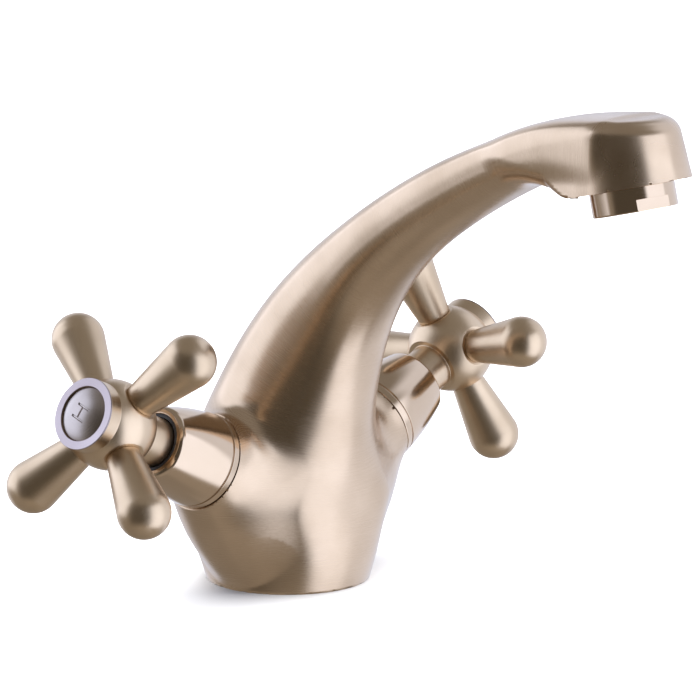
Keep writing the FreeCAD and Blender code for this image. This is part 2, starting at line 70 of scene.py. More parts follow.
HEAD_LENGTH, HEAD_NARROWING = 29.9, 2.2     # how far it is drawn out, and how much thinner
HEAD_TOP, HEAD_TOP_SLOPE, HEAD_TOP_BEND = 19.83, 0.101, -0.0045
HEEL_START, HEEL_SLOPE, HEEL_SOFTNESS, HEEL_DROP, HEEL_ROUND = 11.1, 0.46, 2.5, 0.6, 6.0
VALVE_TILT = radians(24.2)
CROSS_HEIGHT = 24.85
BOSS_END, BOSS_RADIUS = 41.6, 14.6
BOSS_STATIONS = ((0.5, 0.0, 19.1, 23.6), (12.0, 13.5, 16.1, 22.4), (27.9, 32.6, 16.4, 16.7))
BOSS_BLEND, HEAD_BLEND = 10.0, 6.0
BLEND_REACH = 10.0                  # a shallow crease gets a smaller blend
# the bosses stay inside a rounded cone that opens upwards from the base
FLARE_RADIUS, FLARE_SLOPE, FLARE_ROUND = 25.6, 1.05, 9.0
BLEND_HEIGHT = 24.0                 # the bosses' blend grows from the base to this height
BLEND_START, BLEND_GROWTH = 0.06, 0.8
RECESS_RADIUS, RECESS_DEPTH = 18.0, 6.0
GASKET_INNER, GASKET_OUTER, GASKET_HEIGHT = 19.6, 22.4, 2.0
INLET_OFFSET, INLET_RADIUS, INLET_LENGTH = 9.0, 4.5, 12.0
STUD_OFFSET, STUD_RADIUS, STUD_LENGTH = 11.5, 3.4, 14.0
SEAT_DEPTH, CHAMBER_RADIUS, CHAMBER_END, VALVE_THREAD_RADIUS = 17.0, 9.4, 31.0, 10.4
AERATOR_BORE_RADIUS, AERATOR_BORE_DEPTH, PLENUM_RADIUS, PLENUM_TOP = 11.8, 9.0, 9.5, 14.0
BODY_CELL = 0.8
BODY_LOW, BODY_HIGH = np.array([-56.0, -151.0, -2.0]), np.array([56.0, 33.0, 157.0])
FAR_INSIDE = -99.0                  # a flat face's distance where it doesn't cut

# ---- bonnet, handle and aerator, in millimetres ----
BONNET_START, BONNET_END = 41.9, 64.6
RIM_LENGTH, GROOVE_WIDTH, GROOVE_DEPTH = 2.4, 0.5, 0.4
FLANK_TOP_RADIUS, FLANK_TOP = 11.3, 63.1
LIP_RADIUS, MOUTH_RADIUS = 10.0, 8.8
BONNET_CAVITY_RADIUS, BONNET_CAVITY_END = 12.0, 49.5
BONNET_THREAD_RADIUS, BONNET_THREAD_END = 7.6, 56.0
HUB_CENTRE, BALL_RADIUS, BALL_BACK = 84.1, 13.5, 10.1
NECK_RADIUS, NECK_START = 7.4, 62.8
SOCKET_RADIUS, SOCKET_END, POCKET_RADIUS, PLATE_END = 4.15, 76.5, 5.4, 79.5
SCREW_HOLE_RADIUS = 2.1
FACE_RADIUS, FACE_FRONT, RING_THICKNESS = 10.8, 12.6, 0.4
BUTTON_RADIUS, BUTTON_SEAT, BUTTON_EDGE, BUTTON_DOME = 8.2, 10.4, 12.0, 1.9
BUTTON_GAP, BUTTON_RINGS = 0.12, 110
SPOT_DISTANCE = 12.0
ARM_ROOT_RADIUS, ARM_TIP_RADIUS, ARM_TIP_CENTRE = 5.2, 8.0, 32.1
TANG_RADIUS, TANG_END = 2.9, 6.5
HANDLE_TURN = {"hot": radians(-46.0), "cold": radians(-13.0)}
LETTER_TURN = radians(118.0)
LETTER_HEIGHT, LETTER_WIDTH, LETTER_STROKE, LETTER_DEPTH = 5.0, 3.8, 0.5, 0.35
LETTER_MOUTH, LETTER_BEVEL = 1.7, 0.16      # the round letter's half opening, the stroke's edge
COLLAR_RADIUS, COLLAR_LENGTH, COLLAR_INNER, COLLAR_TOP = 12.3, 7.0, 9.9, 7.5
FLAT_DISTANCE, FLAT_HEIGHT, FLAT_TURN = 11.2, 3.4, radians(-24.0)

# ---- studio and camera; places in metres ----
LAMP_SIZE, LAMP_POWER, LAMP_PLACE = 4.0, 260, (0.3, 0.2, 2.5)
FLOOR_HALF = 6000
CAMERA_AZIMUTH, CAMERA_ELEVATION = radians(-48.59), radians(11.18)
CAMERA_PLACE = (-1.02065, -0.92544, 0.34244)
CAMERA_SENSOR, CAMERA_LENS, CAMERA_REACH = 36.0, 238.26, 50


# ---- smooth curves and implicit shapes, on arrays of points in millimetres ----
class Spline:
    """Natural cubic spline through rows of values, with an optional slope at its start."""

    def __init__(self, places, values, start=None):
        x, y = np.asarray(places, float), np.asarray(values, float)
        h, rise = np.diff(x), np.diff(y, axis=0)
        slope = rise / h[:, None]
        n = len(x)
        system, right = np.eye(n), np.zeros_like(y)
        if start is not None:
            system[0, :2] = 2 * h[0], h[0]
            right[0] = 6 * (slope[0] - start)
        for i in range(1, n - 1):
            system[i, i - 1:i + 2] = h[i - 1], 2 * (h[i - 1] + h[i]), h[i]
            right[i] = 6 * (slope[i] - slope[i - 1])
        self.bend = np.linalg.solve(system, right)
        self.x, self.y, self.h, self.slope = x, y, h, slope

    def __call__(self, at, order=0):
        i = np.clip(np.searchsorted(self.x, at) - 1, 0, len(self.h) - 1)
        t, h = (at - self.x[i])[:, None], self.h[i][:, None]
        m0, m1 = self.bend[i], self.bend[i + 1]
        b = self.slope[i] - h * (2 * m0 + m1) / 6
        c, d = m0 / 2, (m1 - m0) / (6 * h)
        if order == 0:
            return self.y[i] + t * (b + t * (c + t * d))
        if order == 1:
            return b + t * (2 * c + 3 * t * d)
        return 2 * c + 6 * t * d


class Horn:
    """A tube of superellipse sections square to a spine that lies in a plane."""

    SAMPLES, STEPS = 48, 3

    def __init__(self, stations):
        rows = np.asarray(stations, float)
        runs = np.hypot(*np.diff(rows[:, :2], axis=0).T)
        places = np.concatenate([[0], np.cumsum(runs)])
        self.length = places[-1]
        self.spine = Spline(places, rows[:, :2], start=np.array([0.0, 1.0]))
        self.size = Spline(places, rows[:, 2:])

    def place(self, plane):
        """Length along the spine of the nearest point, for points of the plane."""
        grid = np.linspace(0, self.length, self.SAMPLES)
        line = self.spine(grid)
        gap = (plane[:, :1] - line[:, 0]) ** 2 + (plane[:, 1:] - line[:, 1]) ** 2
        at = grid[gap.argmin(1)]
        for _ in range(self.STEPS):
            away = self.spine(at) - plane
            first, second = self.spine(at, 1), self.spine(at, 2)
            pull = (away * first).sum(1)
            stiff = np.maximum((first ** 2).sum(1) + (away * second).sum(1), 0.2)
            at = np.clip(at - pull / stiff, 0, self.length)
        return at

    def __call__(self, across, plane):
        """Distance from the surface, and the way out of it: across, then in the plane."""
        at = self.place(plane)
        along = self.spine(at, 1)
        along /= np.hypot(*along.T)[:, None]
        away = plane - self.spine(at)
        rise = away[:, 0] * along[:, 1] - away[:, 1] * along[:, 0]
        beyond = np.abs((away * along).sum(1))
        size = self.size(at)
        width, depth = size[:, 0], size[:, 1]
        power = np.where(rise > 0, size[:, 2], size[:, 3])
        u, v = np.abs(across), np.abs(rise)
        part_u, part_v = (u / width) ** power, (v / depth) ** power
        gauge = (part_u + part_v) ** (1 / power)
        side = np.hypot(u, v) * (1 - 1 / np.maximum(gauge, 1e-6))
        side = np.where(gauge > 1e-6, side, -np.minimum(width, depth))
        ended = np.where(side > 0, np.hypot(side, beyond), np.maximum(side, beyond))
        lean_u = part_u / np.maximum(u, 1e-6) * np.sign(across)
        lean_v = part_v / np.maximum(v, 1e-6) * np.sign(rise)
        length = np.maximum(np.hypot(lean_u, lean_v), 1e-12)
        lean = np.stack([lean_u, lean_v * along[:, 1], -lean_v * along[:, 0]], 1)
        return np.where(beyond > 1e-3, ended, side), lean / length[:, None]


def blend_min(a, b, size):
    """Union of two shapes with a fillet of about that size."""
    share = np.clip(0.5 + 0.5 * (b - a) / size, 0, 1)
    return b * (1 - share) + a * share - size * share * (1 - share)


def round_cut(a, b, radius):
    """What two shapes share, with its edge rounded."""
    u, v = a + radius, b + radius
    return np.minimum(np.maximum(u, v), 0) + np.hypot(np.maximum(u, 0), np.maximum(v, 0)) - radius


def blend_leaning(a, b, size):
    """Union of two (distance, way out) pairs, its fillet smaller in a shallow crease."""
    size = np.minimum(size, BLEND_REACH * np.linalg.norm(a[1] - b[1], axis=1)) + 0.02
    share = np.clip(0.5 + 0.5 * (b[0] - a[0]) / size, 0, 1)
    lean = a[1] * share[:, None] + b[1] * (1 - share[:, None])
    lean /= np.maximum(np.linalg.norm(lean, axis=1), 1e-9)[:, None]
    return blend_min(a[0], b[0], size), lean


def bar(points, radius, low, high):
    """A round bar along Z between two heights."""
    side = np.hypot(points[:, 0], points[:, 1]) - radius
    return np.maximum(side, np.maximum(low - points[:, 2], points[:, 2] - high))


def head_frame(points):
    """Points in the outlet's own frame: z = 0 on the head's underside."""
    away = points - HEAD_CENTRE
    y = away[:, 1] * cos(HEAD_TILT) - away[:, 2] * sin(HEAD_TILT)
    z = away[:, 1] * sin(HEAD_TILT) + away[:, 2] * cos(HEAD_TILT)
    return np.stack([away[:, 0], y, z], 1)


def valve_frame(points, side):
    """Points in a valve's own frame: z along its axis, x up its face."""
    out = points[:, 0] * side
    up = points[:, 2] - CROSS_HEIGHT
    z = out * cos(VALVE_TILT) + up * sin(VALVE_TILT)
    x = up * cos(VALVE_TILT) - out * sin(VALVE_TILT)
    return np.stack([x, -side * points[:, 1], z], 1)


def head_block(local):
    """Block with a domed top, rounded in front and drawn out towards the neck."""
    across, back, height = np.abs(local[:, 0]), local[:, 1], local[:, 2]
    taper = (HEAD_BOTTOM_RADIUS - HEAD_TOP_RADIUS) / HEAD_HEIGHT
    radius = HEAD_BOTTOM_RADIUS - height * taper
    lean = HEAD_NARROWING / HEAD_LENGTH
    straight = np.sqrt(1 - lean ** 2)
    place = across * -lean + back * straight
    end = np.hypot(across, back - HEAD_LENGTH) - radius + HEAD_NARROWING
    side = np.where(place < 0, np.hypot(across, back) - radius,
                    np.where(place > straight * HEAD_LENGTH, end,
                             across * straight + back * lean - radius))
    top = height - (HEAD_TOP + HEAD_TOP_SLOPE * back + HEAD_TOP_BEND * back ** 2)
    run = HEEL_SOFTNESS * np.logaddexp(0, (back - HEEL_START) / HEEL_SOFTNESS)
    heel = run * HEEL_SLOPE - HEEL_DROP
    shape = round_cut(side, top, HEAD_TOP_ROUND)
    return round_cut(shape, heel - height, HEEL_ROUND * np.clip(heel / 3, 0, 1) + 0.05)


def make_horns():
    rows = [station + (2.0, 2.0) for station in BOSS_STATIONS]
    for reach in (BONNET_START, BONNET_START + 6):
        rows.append((reach * cos(VALVE_TILT), CROSS_HEIGHT + reach * sin(VALVE_TILT),
                     BOSS_RADIUS, BOSS_RADIUS, 2.0, 2.0))
    return Horn(SPOUT_STATIONS), Horn(rows)


TRUNK, BOSS = make_horns()


def body_outside(points):
    """The casting's outside before its flat faces are cut."""
    x, y, z = points.T
    fillet = BOSS_BLEND * np.clip(z / BLEND_HEIGHT, BLEND_START, 1) ** BLEND_GROWTH
    flare = (np.hypot(x, y) - FLARE_RADIUS - FLARE_SLOPE * z) / sqrt(1 + FLARE_SLOPE ** 2)
    bosses = []
    for side in (-1, 1):
        distance, lean = BOSS(y, np.stack([side * x, z], 1))
        distance = round_cut(distance, flare, FLARE_ROUND)
        bosses.append((distance, lean[:, [1, 0, 2]] * (side, 1, 1)))
    solid = blend_leaning(TRUNK(x, points[:, 1:]), blend_leaning(*bosses, fillet), fillet)[0]
    local = head_frame(points)
    return blend_min(solid, head_block(local), HEAD_BLEND)


def body_planes(points):
    """Distance beyond each flat face, where that face is cut."""
    local = head_frame(points)
    near = np.hypot(local[:, 0], local[:, 1]) < HEAD_BOTTOM_RADIUS + 0.3
    planes = [-points[:, 2], np.where(near, -local[:, 2], FAR_INSIDE)]
    for side in (-1, 1):
        valve = valve_frame(points, side)
        near = np.hypot(valve[:, 0], valve[:, 1]) < BOSS_RADIUS + 4
        near &= valve[:, 2] > BOSS_END - 8
        planes.append(np.where(near, valve[:, 2] - BOSS_END, FAR_INSIDE))
    return planes


def body_holes(points):
    """Everything bored out of the casting that is open to the outside."""
    holes = [bar(points, RECESS_RADIUS, -1, RECESS_DEPTH),
             np.maximum(bar(points, GASKET_OUTER, -1, GASKET_HEIGHT),
                        -bar(points, GASKET_INNER, -2, GASKET_HEIGHT + 1)),
             bar(points - (0, STUD_OFFSET, 0), STUD_RADIUS, 0, RECESS_DEPTH + STUD_LENGTH)]
    for side in (-1, 1):
        inlet = points - (side * INLET_OFFSET, 0, 0)
        valve = valve_frame(points, side)
        holes += [bar(inlet, INLET_RADIUS, 0, RECESS_DEPTH + INLET_LENGTH),
                  bar(valve, CHAMBER_RADIUS, SEAT_DEPTH, CHAMBER_END + 1),
                  bar(valve, VALVE_THREAD_RADIUS, CHAMBER_END, BOSS_END + 5)]
    local = head_frame(points)
    holes += [bar(local, AERATOR_BORE_RADIUS, -2, AERATOR_BORE_DEPTH),
              bar(local, PLENUM_RADIUS, 0, PLENUM_TOP)]
    return np.minimum.reduce(holes)


def body_shape(points):
    solid = np.maximum.reduce([body_outside(points)] + body_planes(points))
    return np.maximum(solid, -body_holes(points))


# ---- meshes ----
def make_object(name, points, faces, normals=None, matrix=None):
    mesh = bpy.data.meshes.new(name)
    mesh.from_pydata((np.asarray(points) * MM).tolist(), [], faces)
    mesh.shade_smooth()
    if normals is not None:
        mesh.normals_split_custom_set(normals.tolist())
    else:
        mesh.set_sharp_from_angle(angle=radians(20))
    piece = bpy.data.objects.new(name, mesh)
    bpy.context.scene.collection.objects.link(piece)
    if matrix is not None:
        piece.matrix_world = matrix
    return piece


def sampled(shape, points, batch=50000):
    return np.concatenate([shape(points[i:i + batch]) for i in range(0, len(points), batch)])


def gradient(shape, points, step=0.02):
    result = np.empty_like(points)
    for axis in range(3):
        shift = np.zeros(3)
        shift[axis] = step
        result[:, axis] = sampled(shape, points + shift) - sampled(shape, points - shift)
    return result / (2 * step)


def settle(shape, points, reach):
    """Move points onto the surface where shape = 0, by at most reach."""
    slope = gradient(shape, points)
    slope /= np.maximum((slope ** 2).sum(1), 0.1)[:, None]
    start = points
    for _ in range(2):
        points = points - sampled(shape, points)[:, None] * slope
        drift = points - start
        length = np.linalg.norm(drift, axis=1)
        points = start + drift * np.minimum(1, reach / np.maximum(length, 1e-9))[:, None]
    return points


def field_near_surface(shape, low, high, cell, coarse=5):
    """Values on a fine grid, exact near the surface and only their sign elsewhere."""
    blocks = np.ceil((high - low) / (cell * coarse)).astype(int)
    corner = np.stack(np.meshgrid(*[np.arange(n + 1) for n in blocks], indexing="ij"), -1)
    rough = sampled(shape, low + cell * coarse * corner.reshape(-1, 3)).reshape(blocks + 1)
    near = np.zeros(blocks, bool)
    for shift in np.ndindex(2, 2, 2):
        part = rough[tuple(slice(s, s + n) for s, n in zip(shift, blocks))]
        near |= np.abs(part) < cell * coarse * 1.3
    field, wanted = rough[:-1, :-1, :-1], near
    for axis in range(3):
        field = np.repeat(field, coarse, axis)
        wanted = np.repeat(wanted, coarse, axis)
    field = np.pad(field, ((0, 1),) * 3, mode="edge")
    wanted = np.pad(wanted, ((0, 1),) * 3)
    for axis in range(3):
        wanted |= np.roll(wanted, 1, axis)
    indices = np.argwhere(wanted)
    field[tuple(indices.T)] = sampled(shape, low + cell * indices)
    return field


def surface_net(field, low, cell):
    """One vertex in each cell that the surface crosses, one quad round each crossed edge."""
    inside = field < 0
    cells = np.array(field.shape) - 1
    count = sum(inside[tuple(slice(s, s + n) for s, n in zip(shift, cells))].astype(np.int8)
                for shift in np.ndindex(2, 2, 2))
    crossed = np.argwhere((count > 0) & (count < 8))
    number = np.full(cells, -1)
    number[tuple(crossed.T)] = np.arange(len(crossed))
    total, hits = np.zeros((len(crossed), 3)), np.zeros(len(crossed))
    steps = np.eye(3, dtype=int)
    faces = []
    for axis in range(3):
        step, one, two = steps[axis], steps[(axis + 1) % 3], steps[(axis + 2) % 3]
        for a, b in ((0, 0), (0, 1), (1, 0), (1, 1)):
            start = crossed + a * one + b * two
            v0, v1 = field[tuple(start.T)], field[tuple((start + step).T)]
            hit = (v0 < 0) != (v1 < 0)
            share = v0[hit] / (v0[hit] - v1[hit])
            total[hit] += start[hit] + share[:, None] * step
            hits[hit] += 1
        first = inside[tuple(slice(0, n - s) for s, n in zip(step, field.shape))]
        second = inside[tuple(slice(s, n) for s, n in zip(step, field.shape))]
        edges = np.argwhere(first != second)
        edges = edges[((edges > 0) | (step == 1)).all(1) & (edges < cells).all(1)]
        quad = [number[tuple((edges - s).T)] for s in (0 * one, one, one + two, two)]
        quad = np.stack(quad, 1)
        flip = ~inside[tuple(edges.T)]
        quad[flip] = quad[flip][:, ::-1]
        faces.append(quad)
    return low + cell * total / hits[:, None], np.concatenate(faces), low + cell * (crossed + 0.5)


def face_normals(points, faces):
    across = np.cross(points[faces[:, 2]] - points[faces[:, 0]],
                      points[faces[:, 3]] - points[faces[:, 1]])
    return across / np.maximum(np.linalg.norm(across, axis=1), 1e-9)[:, None]


def body_mesh():
    """The casting's skin, its vertices held on the creases where a flat face meets it."""
    field = field_near_surface(body_shape, BODY_LOW, BODY_HIGH, BODY_CELL)
    points, faces, centres = surface_net(field, BODY_LOW, BODY_CELL)
    points = settle(body_shape, points, BODY_CELL)
    normals = gradient(body_shape, points)
    outside, planes = sampled(body_outside, points), body_planes(points)
    corners = normals[faces]
    for k, plane in enumerate(planes):
        near = np.flatnonzero((np.abs(plane) < BODY_CELL) & (np.abs(outside) < BODY_CELL))
        spots = points[near]
        for _ in range(3):
            spots = settle(body_outside, spots, BODY_CELL)
            spots = settle(lambda p: body_planes(p)[k], spots, BODY_CELL)
        held = (np.abs(spots - centres[near]) < 0.55 * BODY_CELL).all(1)
        edge, spots = near[held], spots[held]
        points[edge] = spots
        side, flat = np.zeros_like(points), np.zeros(len(points), bool)
        side[edge], flat[edge] = gradient(body_outside, spots), True
        level = gradient(lambda p: body_planes(p)[k], spots[:1] + 0.0)[0]
        crossing = flat[faces]
        facing = face_normals(points, faces) @ level > 0.7
        corners[crossing] = side[faces[crossing]]
        corners[crossing & facing[:, None]] = level
    corners /= np.maximum(np.linalg.norm(corners, axis=2), 1e-9)[..., None]
    piece = make_object("body", points, faces.tolist(), corners.reshape(-1, 3))
    grain = piece.data.attributes.new("grain", "FLOAT", "POINT")
    grain.data.foreach_set("value", TRUNK.place(points[:, 1:]) * MM)
    return piece


# ---- turned pieces ----
def arc(centre, radius, first, last, count):
    angles = np.linspace(radians(first), radians(last), count)
    return [(centre[0] + radius * cos(a), centre[1] + radius * sin(a), 0) for a in angles]


def outline(corners, parts=5):
    """Points (r, z) through corners (r, z, fillet), with support next to each long run."""
    spots = [np.array(corner[:2], float) for corner in corners]
    rows = [spots[0]]
    for before, corner, after, given in zip(spots, spots[1:], spots[2:], corners[1:]):
        if not given[2]:
            rows.append(corner)
            continue
        back, ahead = before - corner, after - corner
        runs = np.linalg.norm(back), np.linalg.norm(ahead)
        back, ahead = back / runs[0], ahead / runs[1]
        half = acos(np.clip(back @ ahead, -1, 1)) / 2
        reach = min(given[2] / tan(half), 0.45 * runs[0], 0.45 * runs[1])
        middle = (back + ahead) / np.linalg.norm(back + ahead)
        centre = corner + middle * reach / cos(half)
        start = corner + back * reach - centre
        way = 1 if back[0] * ahead[1] < back[1] * ahead[0] else -1
        for angle in np.linspace(0, way * (pi - 2 * half), parts + 1):
            rows.append(centre + np.array([start[0] * cos(angle) - start[1] * sin(angle),
                                           start[0] * sin(angle) + start[1] * cos(angle)]))
    rows.append(spots[-1])
    result = [rows[0]]
    for a, b in zip(rows, rows[1:]):
        run = np.linalg.norm(b - a)
        if run > 0.6:
            result += [a + (b - a) * 0.06 / run, b - (b - a) * 0.06 / run]
        result.append(b)
    return np.array(result)


def turned(name, rows, segments=192, closed=False, shape=None, matrix=None):
    """Solid of revolution about Z; the outline keeps the material on its left."""
    angles = 2 * pi * np.arange(segments) / segments
    ring = np.stack([np.cos(angles), np.sin(angles)], 1)
    points, index = [], []
    for r, z in rows:
        index.append(len(points) + (np.arange(segments) if r > 1e-6 else np.zeros(segments, int)))
        circle = np.column_stack([ring * r, np.full(segments, z)])
        points.extend(circle if r > 1e-6 else circle[:1])
    pairs = list(zip(index, index[1:])) + ([(index[-1], index[0])] if closed else [])
    faces = []
    for a, b in pairs:
        for i, j in zip(range(segments), [*range(1, segments), 0]):
            face = [a[i], a[j], b[j], b[i]]
            faces.append([int(v) for k, v in enumerate(face) if v != face[k - 1]])
    points = np.array(points)
    if shape is not None:
        points = shape(points)
    return make_object(name, points, faces, matrix=matrix)


def valve_matrix(side, turn=0.0):
    """Lays a standing piece on the hot (-1) or cold (+1) valve axis."""
    outward = Vector((side * cos(VALVE_TILT), 0, sin(VALVE_TILT)))
    upward = Vector((-side * sin(VALVE_TILT), 0, cos(VALVE_TILT)))
    matrix = Matrix((upward, outward.cross(upward), outward)).transposed().to_4x4()
    matrix.translation = Vector((0, 0, CROSS_HEIGHT * MM))
    return matrix @ Matrix.Rotation(turn, 4, "Z")


def head_matrix():
    matrix = Matrix.Rotation(-HEAD_TILT, 4, "X")
    matrix.translation = Vector(HEAD_CENTRE * MM)
    return matrix


def arm_matrix(index):
    """Lays a piece drawn along Z on one of a handle's four spokes."""
    angle = pi / 2 * index
    along = Vector((cos(angle), sin(angle), 0))
    matrix = Matrix((Vector((0, 0, 1)), along.cross(Vector((0, 0, 1))), along))
    matrix = matrix.transposed().to_4x4()
    matrix.translation = Vector((0, 0, HUB_CENTRE * MM))
    return matrix


def bonnet(name, matrix):
    groove = BONNET_START + RIM_LENGTH
    flank, floor = groove + GROOVE_WIDTH, BOSS_RADIUS - GROOVE_DEPTH
    foot = BOSS_RADIUS - 0.1
    rows = outline([(BONNET_CAVITY_RADIUS, BONNET_START, 0),
                    (BOSS_RADIUS, BONNET_START, 0.35),
                    (BOSS_RADIUS, groove, 0.25),
                    (floor, groove, 0.12),
                    (floor, flank, 0.12),
                    (foot, flank, 0.2)]
                   + bulged((foot, flank + 0.3), (FLANK_TOP_RADIUS, FLANK_TOP), 0.45, 24)
                   + [(LIP_RADIUS, BONNET_END, 0.5),
                      (MOUTH_RADIUS, BONNET_END, 0.3),
                      (MOUTH_RADIUS, BONNET_THREAD_END, 0.2),
                      (BONNET_THREAD_RADIUS, BONNET_THREAD_END, 0.1),
                      (BONNET_THREAD_RADIUS, BONNET_CAVITY_END, 0.1),
                      (BONNET_CAVITY_RADIUS, BONNET_CAVITY_END, 0.1),
                      (BONNET_CAVITY_RADIUS, BONNET_START + 0.05, 0)])
    return turned(name, rows, closed=True, matrix=matrix)


def bulged(start, end, height, count):
    """Slightly crowned run between two points, then a rounded shoulder."""
    start, end = np.array(start), np.array(end)
    run = end - start
    square = np.array([run[1], -run[0]]) / np.linalg.norm(run)
    shares = np.linspace(0, 1, count)
    rows = [start + run * s + square * height * 4 * s * (1 - s) for s in shares]
    last, lip = rows[-1], np.array([LIP_RADIUS, BONNET_END])
    slope = run - square * height * 4
    slope /= np.linalg.norm(slope)
    knee = last + slope * 1.2
    for s in np.linspace(0, 1, 9)[1:-1]:
        rows.append(last * (1 - s) ** 2 + knee * 2 * s * (1 - s) + lip * s ** 2)
    return [(r, z, 0) for r, z in rows]


def hub_mesh(name, matrix):
    """Ball of the cross handle, with its neck, its face and four flats for the arms."""
    top = FACE_FRONT - RING_THICKNESS
    back = sqrt(BALL_RADIUS ** 2 - BALL_BACK ** 2)
    side = sqrt(BALL_RADIUS ** 2 - FACE_RADIUS ** 2)
    first, last = -np.degrees(acos(back / BALL_RADIUS)), np.degrees(acos(FACE_RADIUS / BALL_RADIUS))
    rows = outline([(SOCKET_RADIUS, NECK_START - HUB_CENTRE, 0),
                    (NECK_RADIUS, NECK_START - HUB_CENTRE, 0.3),
                    (NECK_RADIUS, -BALL_BACK, 0.25),
                    (back, -BALL_BACK, 0.3)]
                   + arc((0, 0), BALL_RADIUS, first + 1.5, last - 1.2, 96)
                   + [(FACE_RADIUS, side, 0.3),
                      (FACE_RADIUS, top, 0.2),
                      (BUTTON_RADIUS, top, 0.15),
                      (BUTTON_RADIUS, BUTTON_SEAT, 0.1),
                      (POCKET_RADIUS, BUTTON_SEAT, 0.1),
                      (POCKET_RADIUS, PLATE_END - HUB_CENTRE, 0.1),
                      (SCREW_HOLE_RADIUS, PLATE_END - HUB_CENTRE, 0.1),
                      (SCREW_HOLE_RADIUS, SOCKET_END - HUB_CENTRE, 0.1),
                      (SOCKET_RADIUS, SOCKET_END - HUB_CENTRE, 0.1),
                      (SOCKET_RADIUS, NECK_START - HUB_CENTRE + 0.05, 0)])

    def flattened(points):
        points[:, :2] = np.clip(points[:, :2], -SPOT_DISTANCE, SPOT_DISTANCE)
        return points
    lift = Matrix.Translation((0, 0, HUB_CENTRE * MM))
    return turned(name, rows, segments=360, closed=True, shape=flattened, matrix=matrix @ lift)


def arm_mesh(name, matrix):
    """Teardrop arm: a cone that runs into a ball, on a tang."""
    rise = ARM_TIP_CENTRE - SPOT_DISTANCE
    lean = 0
    for _ in range(30):
        lean = atan((ARM_TIP_RADIUS / cos(lean) - ARM_ROOT_RADIUS) / rise)
    ball = arc((0, ARM_TIP_CENTRE), ARM_TIP_RADIUS, -np.degrees(lean), 90, 64)
    ball[-1] = (0, ARM_TIP_CENTRE + ARM_TIP_RADIUS, 0)
    root = SPOT_DISTANCE + 0.02
    cone = np.linspace((ARM_ROOT_RADIUS + 0.02, root + 0.35), ball[0][:2], 12)[:-1]
    rows = outline([(0, TANG_END, 0), (TANG_RADIUS, TANG_END, 0.2), (TANG_RADIUS, root, 0.1),
                    (ARM_ROOT_RADIUS, root, 0.3)] + [(r, z, 0) for r, z in cone] + ball)
    return turned(name, rows, segments=160, matrix=matrix)


def index_ring(name, matrix):
    front = HUB_CENTRE + FACE_FRONT
    low = front - RING_THICKNESS
    rows = outline([(BUTTON_RADIUS + 0.05, low, 0), (FACE_RADIUS, low, 0.1),
                    (FACE_RADIUS, front, 0.22), (BUTTON_RADIUS + 0.05, front, 0.15),
                    (BUTTON_RADIUS + 0.05, low + 0.05, 0)])
    return turned(name, rows, closed=True, matrix=matrix)


def letter_depth(points, hot):
    """How far inside the letter's stroke each point lies, negative outside."""
    turned_back = Matrix.Rotation(-LETTER_TURN, 2)
    x, y = np.array(turned_back) @ points.T
    half, width, stroke = LETTER_HEIGHT / 2, LETTER_WIDTH / 2, LETTER_STROKE / 2
    if hot:
        bars = [np.minimum(half - np.abs(x), stroke - np.abs(y - place))
                for place in (-width, width)]
        bars.append(np.minimum(stroke - np.abs(x), width - np.abs(y)))
        return np.maximum.reduce(bars)
    ring = stroke - np.abs(np.hypot(x, y) - half + stroke)
    gap = np.maximum(np.abs(x) - LETTER_MOUTH, y)
    return np.where(y < 0, np.minimum(ring, gap), ring)


def index_button(name, hot, matrix):
    """Domed button with an engraved letter."""
    dome = (BUTTON_RADIUS ** 2 + BUTTON_DOME ** 2) / (2 * BUTTON_DOME)
    rim = BUTTON_RADIUS - BUTTON_GAP
    rows = [(0, BUTTON_SEAT), (BUTTON_RADIUS - 0.3, BUTTON_SEAT), (rim, BUTTON_SEAT + 0.2),
            (rim, BUTTON_EDGE - 0.15)]
    for r in np.linspace(rim, 0, BUTTON_RINGS):
        rows.append((r, BUTTON_EDGE + BUTTON_DOME - dome + sqrt(dome ** 2 - r ** 2)))
    rows = np.array(rows) + (0, HUB_CENTRE)

    def engraved(points):
        on_top = points[:, 2] > HUB_CENTRE + BUTTON_EDGE - 0.1
        inside = np.clip(letter_depth(points[:, :2], hot) / LETTER_BEVEL + 0.5, 0, 1)
        points[:, 2] -= np.where(on_top, LETTER_DEPTH * inside ** 2 * (3 - 2 * inside), 0)
        return points
    return turned(name, rows, segments=288, shape=engraved, matrix=matrix)


def aerator_collar():
    """Outlet collar with two spanner flats."""
    ledge = FLAT_HEIGHT - COLLAR_LENGTH
    rows = outline([(COLLAR_INNER, -COLLAR_LENGTH, 0), (COLLAR_RADIUS, -COLLAR_LENGTH, 0.5),
                    (COLLAR_RADIUS, ledge - 0.03, 0), (COLLAR_RADIUS, ledge + 0.03, 0),
                    (COLLAR_RADIUS, 0, 0.15), (AERATOR_BORE_RADIUS, 0, 0.1),
                    (AERATOR_BORE_RADIUS, COLLAR_TOP, 0.2), (COLLAR_INNER, COLLAR_TOP, 0.1),
                    (COLLAR_INNER, -COLLAR_LENGTH + 0.3, 0)])

    def flattened(points):
        across = np.array([sin(FLAT_TURN), -cos(FLAT_TURN)])
        reach = points[:, :2] @ across
        excess = reach - np.clip(reach, -FLAT_DISTANCE, FLAT_DISTANCE)
        points[:, :2] -= np.where(points[:, 2] < ledge, excess, 0)[:, None] * across
        return points
    return turned("aerator_collar", rows, segments=360, closed=True, shape=flattened,
                  matrix=head_matrix())


